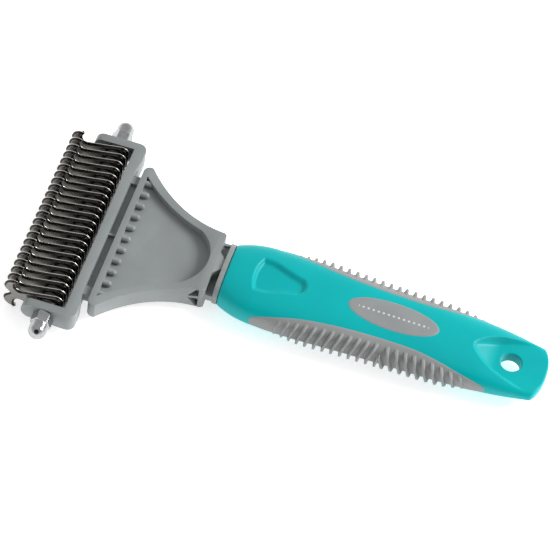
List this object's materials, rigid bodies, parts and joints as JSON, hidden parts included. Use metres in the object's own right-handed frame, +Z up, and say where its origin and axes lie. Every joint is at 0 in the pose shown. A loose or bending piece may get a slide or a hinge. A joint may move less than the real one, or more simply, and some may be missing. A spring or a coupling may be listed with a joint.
{
  "type": "dematting comb",
  "caption": "Double-sided pet dematting comb: a row of hooked steel blades on a threaded rod in a flared plastic frame, with a soft-grip handle and a hanging hole.",
  "frame": {"origin": "centre of the hanging hole, half way through its wall", "axes": "+X from the head towards the tail of the handle, +Z up out of the fine-toothed face and along the hanging hole, +Y across the tool"},
  "size_m": [0.1934, 0.1034, 0.0152],
  "materials": {
    "blade_steel": "dark polished stainless steel with bright ground edges",
    "spacer_steel": "dull turned steel",
    "rod_steel": "zinc-plated threaded steel",
    "nut_chrome": "bright chrome plate",
    "frame_plastic": "satin moulded grey plastic",
    "handle_plastic": "soft-gloss teal plastic",
    "grip_rubber": "matt grey soft rubber with moulded ribs",
    "badge_plastic": "satin grey plastic"
  },
  "bodies": {
    "comb": {"blade_01": "blade_steel", "blade_02": "blade_steel", "blade_03": "blade_steel", "blade_04": "blade_steel", "blade_05": "blade_steel", "blade_06": "blade_steel", "blade_07": "blade_steel", "blade_08": "blade_steel", "blade_09": "blade_steel", "blade_10": "blade_steel", "blade_11": "blade_steel", "blade_12": "blade_steel", "blade_13": "blade_steel", "blade_14": "blade_steel", "blade_15": "blade_steel", "blade_16": "blade_steel", "blade_17": "blade_steel", "blade_18": "blade_steel", "blade_19": "blade_steel", "blade_20": "blade_steel", "blade_21": "blade_steel", "blade_22": "blade_steel", "blade_23": "blade_steel", "spacer_01": "spacer_steel", "spacer_02": "spacer_steel", "spacer_03": "spacer_steel", "spacer_04": "spacer_steel", "spacer_05": "spacer_steel", "spacer_06": "spacer_steel", "spacer_07": "spacer_steel", "spacer_08": "spacer_steel", "spacer_09": "spacer_steel", "spacer_10": "spacer_steel", "spacer_11": "spacer_steel", "spacer_12": "spacer_steel", "spacer_13": "spacer_steel", "spacer_14": "spacer_steel", "spacer_15": "spacer_steel", "spacer_16": "spacer_steel", "spacer_17": "spacer_steel", "spacer_18": "spacer_steel", "spacer_19": "spacer_steel", "spacer_20": "spacer_steel", "spacer_21": "spacer_steel", "spacer_22": "spacer_steel", "spacer_23": "spacer_steel", "spacer_24": "spacer_steel", "head_frame": "frame_plastic", "handle_core": "handle_plastic", "grip_strip_left": "grip_rubber", "grip_strip_right": "grip_rubber", "badge_top": "badge_plastic", "badge_bottom": "badge_plastic"},
    "rod": {"through_rod": "rod_steel", "cap_nut_right": "nut_chrome"},
    "left_nut": {"cap_nut_left": "nut_chrome"}
  },
  "joints": [
    {"name": "rod_spin", "type": "hinge", "parent": "comb", "child": "rod", "pos_m": [-0.1628, 0, 0], "axis": [0, 1, 0], "range_deg": [0, 2880]},
    {"name": "nut_travel", "type": "slide", "parent": "comb", "child": "left_nut", "axis": [0, -1, 0], "range_m": [0, 0.0057]}
  ],
  "couplings": [
    {"joint": "nut_travel", "follows": "rod_spin", "m_per_rad": 0.00011141}
  ]
}
